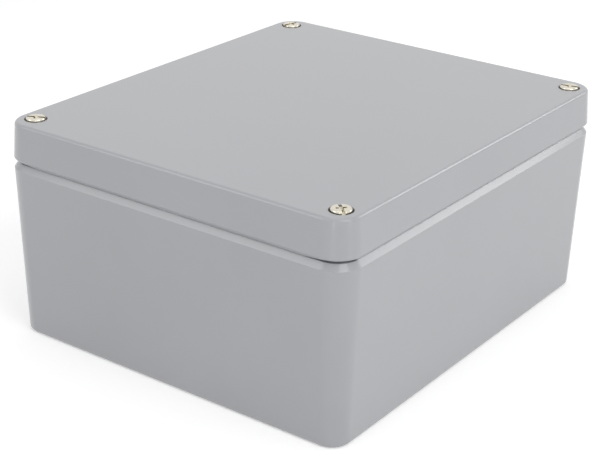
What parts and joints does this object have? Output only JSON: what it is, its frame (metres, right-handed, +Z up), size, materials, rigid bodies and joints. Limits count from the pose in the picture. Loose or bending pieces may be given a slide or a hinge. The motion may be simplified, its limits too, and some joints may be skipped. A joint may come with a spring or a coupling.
{
  "type": "die cast aluminium enclosure",
  "caption": "Rectangular die cast box with drafted walls, a screwed lid on a seal, corner pillars with captive screws and wall fixing holes, and earth terminals inside.",
  "frame": {"origin": "middle of the foot, on the surface that the box stands on", "axes": "+X to the right across the front, +Y from the front to the back, +Z up towards the lid"},
  "size_m": [0.2, 0.23, 0.112],
  "materials": {
    "painted_casting": "semi-gloss light grey paint on a die casting",
    "seal_rubber": "matt black",
    "nickel_screw": "bright nickel plate",
    "retainer_nylon": "natural nylon",
    "zinc_plate": "bright zinc plate"
  },
  "bodies": {
    "base": {"base": "painted_casting", "base_earth_screw": "nickel_screw", "base_earth_lock_washer": "zinc_plate", "base_earth_clamp": "zinc_plate"},
    "lid": {"lid": "painted_casting", "gasket": "seal_rubber", "lid_earth_screw": "nickel_screw", "lid_earth_lock_washer": "zinc_plate", "lid_earth_clamp": "zinc_plate"},
    "retainer_front_left": {"retainer_front_left": "retainer_nylon"},
    "screw_front_left": {"screw_front_left": "nickel_screw"},
    "retainer_front_right": {"retainer_front_right": "retainer_nylon"},
    "screw_front_right": {"screw_front_right": "nickel_screw"},
    "retainer_rear_left": {"retainer_rear_left": "retainer_nylon"},
    "screw_rear_left": {"screw_rear_left": "nickel_screw"},
    "retainer_rear_right": {"retainer_rear_right": "retainer_nylon"},
    "screw_rear_right": {"screw_rear_right": "nickel_screw"}
  },
  "joints": [
    {"name": "lid_lift", "type": "slide", "parent": "base", "child": "lid", "axis": [0, 0, 1], "range_m": [0, 0.12]},
    {"name": "screw_rise_front_left", "type": "slide", "parent": "lid", "child": "retainer_front_left", "axis": [0, 0, 1], "range_m": [0, 0.009]},
    {"name": "screw_turn_front_left", "type": "hinge", "parent": "retainer_front_left", "child": "screw_front_left", "pos_m": [-0.089, -0.1025, 0.108], "axis": [0, 0, 1], "range_deg": [0, 3240]},
    {"name": "screw_rise_front_right", "type": "slide", "parent": "lid", "child": "retainer_front_right", "axis": [0, 0, 1], "range_m": [0, 0.009]},
    {"name": "screw_turn_front_right", "type": "hinge", "parent": "retainer_front_right", "child": "screw_front_right", "pos_m": [0.089, -0.1025, 0.108], "axis": [0, 0, 1], "range_deg": [0, 3240]},
    {"name": "screw_rise_rear_left", "type": "slide", "parent": "lid", "child": "retainer_rear_left", "axis": [0, 0, 1], "range_m": [0, 0.009]},
    {"name": "screw_turn_rear_left", "type": "hinge", "parent": "retainer_rear_left", "child": "screw_rear_left", "pos_m": [-0.089, 0.1025, 0.108], "axis": [0, 0, 1], "range_deg": [0, 3240]},
    {"name": "screw_rise_rear_right", "type": "slide", "parent": "lid", "child": "retainer_rear_right", "axis": [0, 0, 1], "range_m": [0, 0.009]},
    {"name": "screw_turn_rear_right", "type": "hinge", "parent": "retainer_rear_right", "child": "screw_rear_right", "pos_m": [0.089, 0.1025, 0.108], "axis": [0, 0, 1], "range_deg": [0, 3240]}
  ],
  "couplings": [
    {"joint": "screw_turn_front_left", "follows": "screw_rise_front_left", "rad_per_m": 6283.2},
    {"joint": "screw_turn_front_right", "follows": "screw_rise_front_right", "rad_per_m": 6283.2},
    {"joint": "screw_turn_rear_left", "follows": "screw_rise_rear_left", "rad_per_m": 6283.2},
    {"joint": "screw_turn_rear_right", "follows": "screw_rise_rear_right", "rad_per_m": 6283.2}
  ]
}
